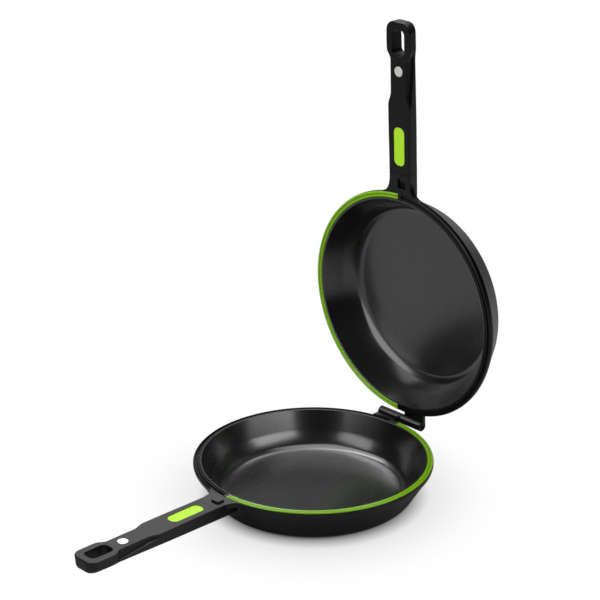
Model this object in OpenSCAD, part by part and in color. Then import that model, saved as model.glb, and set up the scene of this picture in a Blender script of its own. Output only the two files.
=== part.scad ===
// Double sided flip pan: two cast pans joined by a hinge opposite their handles,
// shown standing open. Millimetres, +Z up.
// The origin is the centre of the lower pan's underside. +X points to the hinge and
// the handles point to -X.
// Each half is drawn in a frame of its own: the plane in which the halves meet is
// z = 0, the pan lies below it, and +X points to the hinge. The upper half is the
// same half turned over about X and swung open about the hinge pin.

/* [Pan] */
// Outer radius of the rim
rim_r = 128; // [110:1:150]
// Width of the rim, from the mouth to its outer edge
rim_w = 8.8; // [8.6:0.1:11]
// Height from the standing surface to the plane in which the halves meet
pan_h = 43; // [38:0.5:55]
// Thickness of the floor, with the base plate
floor_t = 4.8; // [4:0.1:7]
// Lean of the inner wall from the vertical, below the mouth
wall_lean = 24.5; // [20:0.1:28]
// Depth below the mating face at which the inner wall starts to bow towards the floor
bow_from = 20; // [16:0.5:22]
// Radius of that bow
bow_round = 63; // [55:1:80]
// Radius of the cove between the bow and the floor
cove_round = 13; // [10:0.5:15]
// Height of the straight part of the rim's outer band
band_h = 1.8; // [1:0.1:6]
// Radius under the rim's outer band
band_round = 6; // [4:0.5:8]
// Angle over which that radius runs
band_turn = 60; // [45:1:70]
// Lean of the outer wall from the vertical
skirt_lean = 31.5; // [26:0.1:34]
// Radius between the outer wall and the underside
base_round = 15; // [6:0.5:20]
// Width of the bevel on the rim's outer top edge
edge_bevel = 1; // [0.4:0.1:1.5]

/* [Rim and seal] */
// Gap between the two halves when they are shut
face_gap = 0.3; // [0.3:0.05:0.6]
// Width of the lip round the mouth
lip_w = 1.9; // [1.5:0.1:2.5]
// Depth of the seat beside that lip, in which the seal lies
seat_d = 0.75; // [0.6:0.05:1.2]
// Distance from the seat's inner edge to the seal's groove
groove_in = 2.3; // [1.8:0.1:2.6]
// Width of the groove
groove_w = 2.6; // [1.8:0.1:2.8]
// Depth of the groove below the seat
groove_d = 2; // [1.2:0.1:3]
// Clearance beside the seal and its root
seal_gap = 0.05; // [0.03:0.01:0.1]
// Distance from the seal's outer edge to the rim's
seal_set_in = 0.4; // [0.3:0.1:1]
// Depth of the valley between the seal's two lips
valley_d = 0.8; // [0.4:0.1:1]
// Half width of the bare metal bridge at the hinge, where both seals end
hinge_bridge = 6; // [4:0.5:10]
// Half width of the bare metal bridge at the handle
handle_bridge = 2; // [1.5:0.5:5]
// How much earlier the bare half's groove ends than its seat
groove_stop = 1.5; // [0.5:0.5:4]

/* [Base plate] */
// Radius of the steel plate in the underside
plate_r = 88; // [70:1:90]
// Thickness of the plate
plate_t = 1; // [0.6:0.1:1.5]
// How far the plate stands out of the underside
plate_proud = 0.2; // [0.1:0.05:0.3]
// Clearance round the plate
plate_gap = 0.1; // [0.05:0.05:0.3]
// Radius of the holes in the plate
plate_hole_r = 3; // [2:0.5:4]
// Distance between the rings of holes
plate_ring = 19; // [15:1:24]
// Holes in the innermost ring, and in each further ring more than in the last
plate_holes = 6; // [4:1:8]

/* [Hinge] */
// Distance from the rim to the pin's axis
hinge_reach = 8.5; // [7.5:0.5:12]
// Radius of the knuckles
barrel_r = 5.4; // [5:0.1:6]
// Length of each knuckle from the middle of the hinge
barrel_l = 31.5; // [24:0.5:40]
// Distance from the middle of the hinge to the web that carries a knuckle
web_from = 4; // [3:0.5:8]
// Thickness of the web
web_t = 5; // [4:0.1:5.2]
// Radius of the pin
pin_r = 2.5; // [2:0.1:2.6]
// Distance from the knuckle's open end to the pin's end
pin_in = 0.5; // [0.2:0.1:2]
// Radial clearance of the pin in the lower knuckle, where it is pressed in
press_gap = 0.02; // [0.01:0.01:0.03]
// Radial clearance of the pin in the bush
running_gap = 0.05; // [0.03:0.01:0.1]
// Wall of the bush
bush_wall = 0.95; // [0.8:0.05:1.1]
// Wall that closes the upper knuckle's far end
end_wall = 3; // [2:0.5:5]
// Height of the stop teeth on the ends of the knuckles
tooth_h = 3; // [2:0.5:5]
// How far the hinge opens
open_angle = 88.2; // [70:0.1:110]

/* [Lug and tang] */
// Length of the cast lug, from the rim to the handle
lug_l = 23; // [18:1:30]
// Radius of the fillets that spread the lug into the rim
lug_fillet = 16; // [8:1:20]
// Depth of those fillets
fillet_d = 5.5; // [4:0.5:6]
// Length of the tang inside the handle
tang_l = 38; // [32:1:45]
// Width of the tang
tang_w = 13; // [11:0.5:15]
// Thickness of the tang
tang_t = 7; // [6:0.5:7.5]
// Depth of the tang's top below the mating face
tang_z = 4.6; // [4.4:0.1:5]
// Clearance round the tang
tang_gap = 0.15; // [0.1:0.05:0.3]
// Length of the locating key on the lower lug
key_l = 9; // [6:0.5:12]
// Width of the key
key_w = 10; // [6:0.5:12]
// Height of the key
key_h = 2; // [1:0.1:2.5]
// How far the key lies off the middle, to the side of the seal
key_off = 3; // [0:0.5:4]
// Clearance round the key in its recess
key_gap = 0.4; // [0.3:0.1:0.8]

/* [Handle] */
// Length of the handle
handle_l = 164.5; // [158:0.5:180]
// Width at the lug
seam_w = 30; // [27:0.2:32]
// Width at the grip
grip_w = 31.6; // [28:0.2:33]
// Width of the mating face between the finger scoops
waist_w = 23.6; // [22:0.2:25]
// Width at the hang end
end_w = 34.4; // [33:0.2:36]
// Depth at the lug
handle_d = 18.4; // [17.6:0.1:20]
// Depth at the hang end
end_d = 14.2; // [13:0.1:17]
// Inward lean of the handle's sides
side_draft = 12; // [6:0.5:13]
// Radius of the edges of the mating face
face_round = 1.6; // [1:0.1:2]
// Radius of the edges of the back
back_round = 6; // [4:0.5:7]
// Radius of the hang end's corners, seen from above
end_round = 10; // [6:0.5:12]
// Radius of the hang end below
end_back_round = 8; // [5:0.5:9]
// Distance from the handle's tip to the hang slot
slot_tip = 8.2; // [8:0.1:12]
// Length of the hang slot
slot_l = 28; // [20:0.5:29]
// Width of the hang slot
slot_w = 17; // [12:0.5:18]
// Radius of the slot's corners
slot_round = 5.5; // [3:0.5:7]
// Width of the bevel round the slot
slot_bevel = 1; // [0.6:0.1:1.5]

/* [Finger scoops] */
// Distance from the lug to the start of the scoops
scoop_from = 73; // [65:1:75]
// Length over which a scoop deepens
scoop_in = 15; // [10:1:18]
// Length at full depth
scoop_l = 35; // [25:1:36]
// Length over which it comes out again
scoop_out = 10; // [6:0.5:12]
// Height of the scoop at its start
scoop_z1 = 4; // [3.5:0.1:5]
// Height of the scoop at its end
scoop_z2 = 9; // [7:0.1:9.2]
// Fillet between a scoop's wall and its shelf
shelf_fillet = 1.2; // [0.6:0.1:1.6]
// Height of the bevel at the shelf's outer edge
shelf_lip = 1; // [0.6:0.1:1.4]

/* [Inlay and magnet] */
// Distance from the lug to the inlay
inlay_from = 8.4; // [6:0.2:11]
// Length of the inlay
inlay_l = 42.4; // [36:0.2:46]
// Width of the inlay
inlay_w = 15; // [13:0.2:16]
// Radius of its corners
inlay_round = 6.2; // [3:0.1:6.4]
// Thickness of the inlay
inlay_t = 1.6; // [1.2:0.1:1.8]
// Depth of its face below the mating face
inlay_in = 0.3; // [0.2:0.1:0.8]
// Bevel round its face
inlay_bevel = 0.6; // [0.3:0.1:0.8]
// Clearance round the inlay
inlay_gap = 0.1; // [0.05:0.05:0.2]
// Distance from the lug to the magnet's centre
magnet_from = 111.5; // [108:0.5:114]
// Radius of the magnet
magnet_r = 5.7; // [5:0.1:6.5]
// Thickness of the magnet
magnet_t = 4; // [3:0.5:6]
// Depth of its face below the mating face
magnet_in = 0.1; // [0.05:0.05:0.3]
// Clearance round the magnet
magnet_gap = 0.1; // [0.05:0.05:0.2]
// Bevel of the magnet's edges
magnet_bevel = 0.5; // [0.3:0.1:0.8]

/* [Screw] */
// Distance from the lug to the handle screw
screw_from = 21; // [15:0.5:26]
// Radius of the screw's thread
screw_r = 2.5; // [2:0.1:2.5]
// Radius of its head
head_r = 4.4; // [4.2:0.1:4.8]
// Height of its head
head_h = 2.4; // [1.8:0.1:2.5]
// Width of the cross in its head
cross_w = 1; // [0.6:0.1:1.4]
// Radius of the lock washer
washer_r = 4.6; // [4.4:0.1:4.9]
// Thickness of the lock washer
washer_t = 0.8; // [0.5:0.1:1]
// Radius of the threaded insert in the tang
insert_r = 3.5; // [3.4:0.1:4]
// Length of the insert
insert_l = 5.8; // [4:0.1:6]
// Handle wall under the screw's head
seat_wall = 2.6; // [2:0.1:2.6]
// Clearance of the screw in its insert
thread_gap = 0.05; // [0.03:0.01:0.1]
// Clearance of the screw in the handle and round its head
screw_gap = 0.25; // [0.15:0.05:0.4]

/* [Hidden] */
round_fn = 180;
small_fn = 48;
bevel_fn = 32;
arc_n = 8;
edge_n = 3;
back_n = 6;
thin = 0.01;
past = 1;
flat_step = 0.2;

// Colours, by material
coating = "#1c1c1e";
silicone = "#8cc32a";
inlay_silicone = "#9ed62f";
steel = "#b9babc";
zinc = "#a8a9ab";
phenolic = "#262628";
nickel = "#d8dadd";
bronze = "#b08d57";

// Heights in the half's frame
face_z = -face_gap / 2;
seat_z = face_z - seat_d;
groove_z = seat_z - groove_d;
seal_top = -seat_z - face_gap;
base_z = -pan_h;
under_z = base_z + plate_proud;
plate_top_z = base_z + plate_t;
floor_z = base_z + floor_t;

// Radii of the pan
mouth_r = rim_r - rim_w;
lip_r = mouth_r + lip_w;
groove_r = lip_r + groove_in;
seal_r = rim_r - seal_set_in;
seat_edge_r = rim_r + face_gap;

// Inner wall: straight below the mouth, then a bow that runs on into the cove
bow_c = [
    wall_r(-bow_from) - bow_round * cos(wall_lean), -bow_from + bow_round * sin(wall_lean),
];
cove_lean = asin((bow_c.y - floor_z - cove_round) / (bow_round - cove_round));
floor_r = bow_c.x + (bow_round - cove_round) * cos(cove_lean);

// Outer wall, from the crease under the rim's band down to the underside
band_z = seat_z - edge_bevel - band_h;
band_c = rim_r - band_round;
crease_r = band_c + band_round * cos(band_turn);
crease_z = band_z - band_round * sin(band_turn);
skirt_foot_r = skirt_r(under_z);
base_c = skirt_foot_r - base_round * (1 - sin(skirt_lean)) / cos(skirt_lean);

// Hinge
hinge_x = rim_r + hinge_reach;
web_x = mouth_r + lip_w / 2;
end_y = (tooth_h + face_gap) / 2;
tooth_tip_y = end_y - tooth_h;
tooth_sector = (360 - open_angle) / 2;
bush_r = pin_r + running_gap + bush_wall;
bore_end_y = barrel_l - end_wall;

// Handle
seam_x = -(rim_r + lug_l);
tip_x = seam_x - handle_l;
lug_x = -(skirt_r(-handle_d) + wall_r(-handle_d)) / 2;
grip_x = seam_x - scoop_from + scoop_in / 2;
scoop_x1 = seam_x - scoop_from;
scoop_x2 = scoop_x1 - scoop_in;
scoop_x3 = scoop_x2 - scoop_l;
scoop_x4 = scoop_x3 - scoop_out;
flare_x = scoop_x4 - scoop_out / 2;
slot_x = tip_x + slot_tip + slot_l / 2;
inlay_x = seam_x - inlay_from - inlay_l / 2;
inlay_top = face_z - inlay_in;
magnet_x = seam_x - magnet_from;
magnet_top = face_z - magnet_in;
scoop_max = (grip_w - waist_w) / 2;
screw_x = seam_x - screw_from;
tang_bottom = -tang_z - tang_t;
head_seat = tang_bottom - tang_gap - seat_wall;
head_top = head_seat - washer_t;
key_x = (seam_x - seat_edge_r) / 2;

// Radius of the outer and the inner wall at height z
function skirt_r(z) = crease_r - (crease_z - z) * tan(skirt_lean);
function wall_r(z) = mouth_r + (z - face_z) * tan(wall_lean);

// Points of an arc, from angle a to angle b
function arc(c, r, a, b, n) =
    [for (i = [0 : n]) c + r * [cos(a + (b - a) * i / n), sin(a + (b - a) * i / n)]];

// Angle at radius r of a point that lies a distance d from the X axis
function off_angle(d, r) = asin(d / r);

// Moves smoothly from 0 to 1 as x goes from a to b
function ramp(x, a, b) = let (t = min(1, max(0, (x - a) / (b - a)))) t * t * (3 - 2 * t);

// How much a quarter round of radius r has closed in at a distance d before its end
function closed(d, r) = d >= r ? 0 : r - sqrt(max(0, r * r - (r - d) * (r - d)));

// ---- Pan ----

module outer_profile() {
    polygon(concat(
        [[0, under_z]],
        arc([base_c, under_z + base_round], base_round, -90, -skirt_lean, arc_n),
        arc([band_c, band_z], band_round, -band_turn, 0, arc_n),
        [[rim_r, face_z - edge_bevel], [rim_r - edge_bevel, face_z], [0, face_z]]
    ));
}

module cavity_profile() {
    bow = arc(bow_c, bow_round, -cove_lean, -wall_lean, arc_n);
    polygon(concat(
        [[0, floor_z]],
        arc([floor_r, floor_z + cove_round], cove_round, -90, -cove_lean, arc_n),
        [for (i = [1 : arc_n]) bow[i]],
        [[mouth_r, face_z], [mouth_r, past], [0, past]]
    ));
}

// Turns a profile through part of the circle, from angle a to angle b
module ring_part(a, b)
    rotate([0, 0, a])
        rotate_extrude(angle = b - a, $fn = round_fn) children();

// The seat beside the lip, with the rim's bevelled outer edge. It stops on both sides
// of the hinge and of the handle, which leaves a bridge as high as the lip.
module seat_profile() {
    polygon([
        [lip_r, past], [lip_r, seat_z], [rim_r - edge_bevel, seat_z],
        [seat_edge_r, seat_z - edge_bevel - face_gap], [seat_edge_r, past],
    ]);
}

module groove_profile() {
    translate([groove_r, groove_z]) square([groove_w, past - groove_z]);
}

module rim_cuts() {
    a = off_angle(hinge_bridge, rim_r);
    b = 180 - off_angle(handle_bridge, rim_r);
    stop = off_angle(groove_stop, rim_r);
    ring_part(a, b) seat_profile();
    ring_part(-b, -a) seat_profile();
    ring_part(a + stop, b - stop) groove_profile();
    ring_part(-b, -a) groove_profile();
}

module lug_body() {
    half = seam_w / 2;
    fillet_c = [-sqrt(pow(rim_r + lug_fillet, 2) - pow(half + lug_fillet, 2)), half + lug_fillet];
    fillet_end = fillet_c * rim_r / (rim_r + lug_fillet);
    translate([seam_x, 0, 0])
        rotate([90, 0, 90])
            linear_extrude(lug_x - seam_x) polygon(handle_section(seam_x));
    for (side = [0, 1])
        mirror([0, side, 0])
            translate([0, 0, face_z - fillet_d])
                linear_extrude(fillet_d)
                    difference() {
                        polygon([
                            [fillet_c.x, half - face_round - past], [fillet_c.x, half],
                            fillet_end, [lug_x, fillet_end.y],
                            [lug_x, half - face_round - past],
                        ]);
                        translate(fillet_c) circle(lug_fillet, $fn = round_fn);
                    }
}

module tang() {
    translate([seam_x - tang_l, -tang_w / 2, tang_bottom])
        cube([tang_l + past, tang_w, tang_t]);
}

module insert_bore() {
    translate([screw_x, 0, tang_bottom - past])
        cylinder(r = insert_r, h = insert_l + past, $fn = small_fn);
}

// A cylinder along the hinge's axis, from y1 to y2
module along_hinge(r, y1, y2)
    translate([hinge_x, y1, 0])
        rotate([-90, 0, 0])
            cylinder(r = r, h = y2 - y1, $fn = small_fn);

// The stop tooth is the part of a cylinder between two faces that each lie half the
// gap inside the sector, so at both ends of the travel the teeth stand a gap apart
module stop_tooth() {
    reach = 2 * barrel_r;
    difference() {
        along_hinge(barrel_r, tooth_tip_y, end_y + thin);
        translate([hinge_x, 0, face_gap / 2]) {
            translate([-reach, -reach, -reach]) cube([2 * reach, 2 * reach, reach]);
        }
        translate([hinge_x, 0, 0])
            rotate([0, -tooth_sector, 0])
                translate([-reach, -reach, -face_gap / 2]) cube([2 * reach, 2 * reach, reach]);
    }
}

module knuckle() {
    bevel = edge_bevel;
    along_hinge(barrel_r, end_y, barrel_l - bevel);
    translate([hinge_x, barrel_l - bevel, 0])
        rotate([-90, 0, 0])
            cylinder(r1 = barrel_r, r2 = barrel_r - bevel, h = bevel, $fn = small_fn);
    translate([web_x, web_from, face_z - web_t])
        cube([hinge_x - web_x, barrel_l - web_from, web_t]);
    stop_tooth();
}

module pan_casting(bore) {
    difference() {
        union() {
            rotate_extrude($fn = round_fn) outer_profile();
            lug_body();
            knuckle();
        }
        rotate_extrude($fn = round_fn) cavity_profile();
        rim_cuts();
        translate([0, 0, base_z - past])
            cylinder(r = plate_r + plate_gap, h = plate_t + past, $fn = round_fn);
        if (bore == "pressed")
            along_hinge(pin_r + press_gap, tooth_tip_y - past, barrel_l + past);
        else
            along_hinge(bush_r + press_gap, tooth_tip_y - past, bore_end_y);
    }
    difference() {
        tang();
        insert_bore();
    }
}

module key(grow) {
    translate([key_x - key_l / 2 - grow, -key_w / 2 - grow - key_off, face_z - past])
        cube([key_l + 2 * grow, key_w + 2 * grow, key_h + past]);
}

module lower_pan_solid() {
    pan_casting("pressed");
    key(0);
}

module upper_pan_solid() {
    difference() {
        pan_casting("bushed");
        rotate([180, 0, 0]) translate([0, 0, key_gap]) key(key_gap);
    }
}

// ---- Seal ----

module seal_profile() {
    r1 = lip_r + face_gap / 2;
    r2 = seal_r;
    mid = (r1 + r2) / 2;
    quarter = (r2 - r1) / 4;
    bulge = (quarter * quarter + valley_d * valley_d) / (2 * valley_d);
    half = asin(quarter / bulge);
    polygon(concat(
        [
            [groove_r + seal_gap, groove_z], [groove_r + groove_w - seal_gap, groove_z],
            [groove_r + groove_w - seal_gap, seat_z], [r2, seat_z],
        ],
        arc([mid + quarter, seal_top - bulge], bulge, 90 - half, 90 + half, arc_n),
        arc([mid - quarter, seal_top - bulge], bulge, 90 - half, 90 + half, arc_n),
        [[r1, seat_z], [groove_r + seal_gap, seat_z]]
    ));
}

module seal_solid() {
    a = off_angle(hinge_bridge + face_gap, rim_r);
    b = 180 - off_angle(handle_bridge + face_gap, rim_r);
    ring_part(-b, -a) seal_profile();
}

// ---- Base plate ----

module base_plate_solid() {
    translate([0, 0, base_z])
        difference() {
            cylinder(r = plate_r, h = plate_t, $fn = round_fn);
            for (ring = [1 : floor((plate_r - plate_ring / 2) / plate_ring)])
                for (i = [1 : plate_holes * ring])
                    rotate([0, 0, i * 360 / (plate_holes * ring)])
                        translate([ring * plate_ring, 0, -past])
                            cylinder(r = plate_hole_r, h = plate_t + 2 * past, $fn = small_fn);
        }
}

// ---- Handle ----

// Half width of the handle's face, before the scoops and the end's rounding
function half_w(x) =
    (seam_w + (grip_w - seam_w) * ramp(-x, -seam_x, -grip_x)
        + (end_w - grip_w) * ramp(-x, -scoop_x3, -flare_x)) / 2;

// How far a finger scoop has opened, from 0 to 1, and the height of its shelf
function scoop(x) = ramp(-x, -scoop_x1, -scoop_x2) * (1 - ramp(-x, -scoop_x3, -scoop_x4));
function shelf_z(x) =
    face_z - scoop_z1 - (scoop_z2 - scoop_z1) * ramp(-x, -scoop_x1, -scoop_x3);

function depth(x) = handle_d + (end_d - handle_d) * (seam_x - x) / handle_l;

// Outline across the handle at x: the mating face above, the wall of the scoop, its
// shelf, the leaning side and the rounded back, on one side and then the other
function handle_half(x) =
    let (
        left = x - tip_x,
        hw = half_w(x) - closed(left, end_round),
        top = face_z - closed(left, face_round),
        bottom = -depth(x) + closed(left, end_back_round),
        open = scoop(x),
        shelf = shelf_z(x),
        lean = tan(side_draft),
        fillet = flat_step + (shelf_fillet - flat_step) * open,
        lip = flat_step + (shelf_lip - flat_step) * open,
        mid = fillet * (1 - cos(45)),
        back_r = min(back_round, (top - bottom) / 3),
        wall = hw - scoop_max * open,
        foot = wall - (top - shelf) * lean * (1 - open),
        edge = hw - (top - shelf) * lean,
        back_w = hw - (top - bottom) * lean
    )
    concat(
        arc([wall - face_round, top - face_round], face_round, 90, 0, edge_n),
        [
            [foot, shelf + fillet], [foot + mid * open, shelf + mid],
            [foot + (edge - foot) * fillet / (fillet + lip), shelf],
            [edge, shelf - lip],
        ],
        arc([back_w - back_r + back_r * lean, bottom + back_r], back_r, -side_draft, -90, back_n)
    );

function handle_section(x) =
    let (half = handle_half(x), n = len(half))
    concat(half, [for (i = [n - 1 : -1 : 0]) [-half[i].x, half[i].y]]);

// The ends of n equal steps from a to b
function steps(a, b, n) = [for (i = [1 : n]) a + (b - a) * i / n];

stations = concat(
    [seam_x], steps(seam_x, scoop_x1, 4), steps(scoop_x1, scoop_x2, 6),
    steps(scoop_x2, scoop_x3, 4), steps(scoop_x3, scoop_x4, 6),
    steps(scoop_x4, flare_x, 2), steps(flare_x, tip_x + end_round, 2),
    [for (i = [1 : 9]) tip_x + end_round * (1 - sin(10 * i))]
);

module handle_shell() {
    rings = [for (x = stations) handle_section(x)];
    n = len(rings[0]);
    m = len(rings);
    points = [for (k = [0 : m - 1]) for (p = rings[k]) [stations[k], p.x, p.y]];
    sides = [
        for (k = [0 : m - 2]) for (i = [0 : n - 1])
            let (a = k * n + i, b = k * n + (i + 1) % n)
            each [[a, b, b + n], [a, b + n, a + n]]
    ];
    first = [for (i = [n - 1 : -1 : 0]) i];
    last = [for (i = [0 : n - 1]) (m - 1) * n + i];
    polyhedron(points, concat(sides, [first, last]), convexity = 6);
}

module rounded_plate(l, w, r, h)
    linear_extrude(h) {
        square([l - 2 * r, w], center = true);
        square([l, w - 2 * r], center = true);
        for (x = [-1, 1])
            for (y = [-1, 1])
                translate([x * (l / 2 - r), y * (w / 2 - r)]) circle(r, $fn = bevel_fn);
    }

// A rounded plate of height h that spreads by the bevel's width over its last part
module bevelled_plate(l, w, r, h, bevel)
    hull() {
        rounded_plate(l, w, r, h - bevel);
        translate([0, 0, h - thin])
            rounded_plate(l + 2 * bevel, w + 2 * bevel, r + bevel, thin);
    }

module hang_slot() {
    deep = depth(slot_x) + past;
    translate([slot_x, 0, -deep]) rounded_plate(slot_l, slot_w, slot_round, deep + past);
    translate([slot_x, 0, face_z - slot_bevel])
        bevelled_plate(slot_l, slot_w, slot_round, slot_bevel + thin, slot_bevel);
}

module handle_solid() {
    difference() {
        handle_shell();
        translate([seam_x - tang_l - tang_gap, -tang_w / 2 - tang_gap, tang_bottom - tang_gap])
            cube([tang_l + tang_gap + past, tang_w + 2 * tang_gap, tang_t + 2 * tang_gap]);
        translate([inlay_x, 0, inlay_top - inlay_t])
            rounded_plate(inlay_l + 2 * inlay_gap, inlay_w + 2 * inlay_gap,
                inlay_round + inlay_gap, inlay_t + inlay_in + past);
        translate([magnet_x, 0, magnet_top - magnet_t])
            cylinder(r = magnet_r + magnet_gap, h = magnet_t + past, $fn = small_fn);
        translate([screw_x, 0, head_seat - past])
            cylinder(r = screw_r + screw_gap, h = seat_wall + 2 * past, $fn = small_fn);
        translate([screw_x, 0, -handle_d - past])
            cylinder(r = washer_r + screw_gap, h = handle_d + past + head_seat, $fn = small_fn);
        hang_slot();
    }
}

module inlay_solid() {
    translate([inlay_x, 0, inlay_top])
        mirror([0, 0, 1])
            hull() {
                rounded_plate(inlay_l - 2 * inlay_bevel, inlay_w - 2 * inlay_bevel,
                    inlay_round - inlay_bevel, thin);
                translate([0, 0, inlay_bevel])
                    rounded_plate(inlay_l, inlay_w, inlay_round, inlay_t - inlay_bevel);
            }
}

module magnet_solid() {
    translate([magnet_x, 0, magnet_top - magnet_t])
        rotate_extrude($fn = small_fn)
            polygon([
                [0, 0], [magnet_r - magnet_bevel, 0], [magnet_r, magnet_bevel],
                [magnet_r, magnet_t - magnet_bevel], [magnet_r - magnet_bevel, magnet_t],
                [0, magnet_t],
            ]);
}

// ---- Screw ----

module screw_solid() {
    shank_l = head_seat - washer_t + insert_l - tang_bottom;
    tip = tang_bottom + insert_l - screw_r / 3;
    translate([screw_x, 0, 0])
        difference() {
            union() {
                translate([0, 0, head_top]) cylinder(r = screw_r, h = tip - head_top, $fn = small_fn);
                translate([0, 0, head_top - head_h]) cylinder(r = head_r, h = head_h, $fn = small_fn);
            }
            for (turn = [0, 90])
                rotate([0, 0, turn])
                    translate([-head_r / 2, -cross_w / 2, head_top - head_h - past])
                        cube([head_r, cross_w, head_h / 2 + past]);
        }
}

module washer_solid() {
    translate([screw_x, 0, head_top])
        difference() {
            cylinder(r = washer_r, h = washer_t, $fn = small_fn);
            translate([0, 0, -past])
                cylinder(r = screw_r + screw_gap, h = washer_t + 2 * past, $fn = small_fn);
        }
}

module insert_solid() {
    translate([screw_x, 0, tang_bottom])
        difference() {
            cylinder(r = insert_r - press_gap, h = insert_l, $fn = small_fn);
            translate([0, 0, -past])
                cylinder(r = screw_r + thread_gap, h = insert_l + 2 * past, $fn = small_fn);
        }
}

// ---- The two halves ----

module in_lower() translate([0, 0, pan_h]) children();

module in_upper()
    translate([hinge_x, 0, pan_h])
        rotate([0, open_angle, 0])
            translate([-hinge_x, 0, 0])
                rotate([180, 0, 0]) children();

module lower_pan() color(coating) in_lower() lower_pan_solid();
module upper_pan() color(coating) in_upper() upper_pan_solid();
module lower_seal() color(silicone) in_lower() seal_solid();
module upper_seal() color(silicone) in_upper() seal_solid();
module lower_base_plate() color(steel) in_lower() base_plate_solid();
module upper_base_plate() color(steel) in_upper() base_plate_solid();
module lower_tang_insert() color(zinc) in_lower() insert_solid();
module upper_tang_insert() color(zinc) in_upper() insert_solid();
module lower_handle() color(phenolic) in_lower() handle_solid();
module upper_handle() color(phenolic) in_upper() handle_solid();
module lower_inlay() color(inlay_silicone) in_lower() inlay_solid();
module upper_inlay() color(inlay_silicone) in_upper() inlay_solid();
module lower_magnet() color(nickel) in_lower() magnet_solid();
module upper_magnet() color(nickel) in_upper() magnet_solid();
module lower_lock_washer() color(zinc) in_lower() washer_solid();
module upper_lock_washer() color(zinc) in_upper() washer_solid();
module lower_handle_screw() color(zinc) in_lower() screw_solid();
module upper_handle_screw() color(zinc) in_upper() screw_solid();

// The pin is pressed into the lower knuckle and runs in the bush of the upper one
module hinge_pin() color(steel) in_lower()
    along_hinge(pin_r, -(bore_end_y - pin_in), barrel_l - pin_in);

module hinge_bush() color(bronze) in_upper()
    difference() {
        along_hinge(bush_r, end_y, bore_end_y);
        along_hinge(pin_r + running_gap, end_y - past, bore_end_y + past);
    }

lower_pan();
lower_seal();
lower_base_plate();
lower_tang_insert();
lower_handle();
lower_inlay();
lower_magnet();
lower_lock_washer();
lower_handle_screw();
hinge_pin();
hinge_bush();
upper_pan();
upper_seal();
upper_base_plate();
upper_tang_insert();
upper_handle();
upper_inlay();
upper_magnet();
upper_lock_washer();
upper_handle_screw();
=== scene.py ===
# %% [markdown]
# # A double sided flip pan, standing open
# Two cast pans hinge together opposite their handles, so food can be turned over by
# turning the shut pan. The imported CAD model gives every size and every joint. This
# lesson dresses it: the cast pans, the silicone seal, the moulded handles, the inlays
# and the magnets are modelled again with rounded edges, and every piece gets a real
# finish.

# %% Load the frame
import math
import bmesh
import bpy
from mathutils import Matrix, Vector


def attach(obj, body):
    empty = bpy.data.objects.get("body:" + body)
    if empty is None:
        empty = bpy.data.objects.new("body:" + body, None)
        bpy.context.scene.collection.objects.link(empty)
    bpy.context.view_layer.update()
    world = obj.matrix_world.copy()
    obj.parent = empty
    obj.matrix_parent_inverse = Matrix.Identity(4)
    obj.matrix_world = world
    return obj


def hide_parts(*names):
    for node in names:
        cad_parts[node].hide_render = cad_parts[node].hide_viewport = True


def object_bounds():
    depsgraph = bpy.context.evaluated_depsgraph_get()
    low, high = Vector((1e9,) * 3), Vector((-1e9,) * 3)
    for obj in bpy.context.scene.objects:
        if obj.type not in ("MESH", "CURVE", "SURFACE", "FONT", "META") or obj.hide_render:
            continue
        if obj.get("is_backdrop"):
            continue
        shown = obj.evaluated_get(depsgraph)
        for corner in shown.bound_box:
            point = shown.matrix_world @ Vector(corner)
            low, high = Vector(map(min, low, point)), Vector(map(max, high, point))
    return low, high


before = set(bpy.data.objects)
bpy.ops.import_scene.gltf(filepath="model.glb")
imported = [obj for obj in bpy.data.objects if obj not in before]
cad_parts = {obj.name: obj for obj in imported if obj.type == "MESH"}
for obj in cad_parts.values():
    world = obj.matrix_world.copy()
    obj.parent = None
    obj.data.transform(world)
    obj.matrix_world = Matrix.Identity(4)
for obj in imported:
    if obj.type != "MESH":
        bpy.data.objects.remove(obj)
bpy.context.scene.view_settings.view_transform = "Standard"
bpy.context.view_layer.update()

# %% [markdown]
# ## One half, drawn in its own frame
# Both halves are the same casting, so one half is modelled and the other is a copy that
# is turned over. The sizes below are in millimetres in the half's own frame: z = 0 is
# the plane in which the halves meet, the pan lies below it, and +X points to the hinge.
# The lower half stands with that plane 43 mm above the table. The copy is turned over
# about X and swung open about the hinge pin, which is one matrix.

# %% Millimetres, and the matrix of the upper half
MM = 0.001
PAN_H = 43.0
HINGE_X = 136.5
OPEN = math.radians(88.2)


def place(x, y, z):
    """A point of the lower half, from millimetres in its own frame to the row frame."""
    return Vector((x, y, z + PAN_H)) * MM


pin = place(HINGE_X, 0, 0)
TO_UPPER = (Matrix.Translation(pin) @ Matrix.Rotation(OPEN, 4, "Y")
            @ Matrix.Rotation(math.pi, 4, "X") @ Matrix.Translation(-pin))
print("hinge axis at", [round(v, 4) for v in pin])

# %% [markdown]
# ## The camera
# A long lens from the handle side and a little above, so both pans are seen into. A
# long lens keeps the round rims close to true ellipses, as in a shop photograph. The
# camera is aimed at a point between the pans and then rolled by a third of a degree.

# %% Camera
camera_data = bpy.data.cameras.new("studio_camera")
camera = bpy.data.objects.new("studio_camera", camera_data)
bpy.context.scene.collection.objects.link(camera)
bpy.context.scene.camera = camera
camera_data.sensor_width = 36.0
camera_data.lens = 126.1
camera_data.clip_end = 20.0
camera_place = Vector((-1403.7, -1437.8, 1041.1)) * MM
camera_aim = Vector((-256.9, -247.6, 368.6)) * MM
aim = (camera_aim - camera_place).to_track_quat("-Z", "Y").to_matrix().to_4x4()
camera.matrix_world = (Matrix.Translation(camera_place) @ aim
                       @ Matrix.Rotation(math.radians(-0.34), 4, "Z"))
print("camera stands", round((camera_aim - camera_place).length, 3), "m from its aim")

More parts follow.
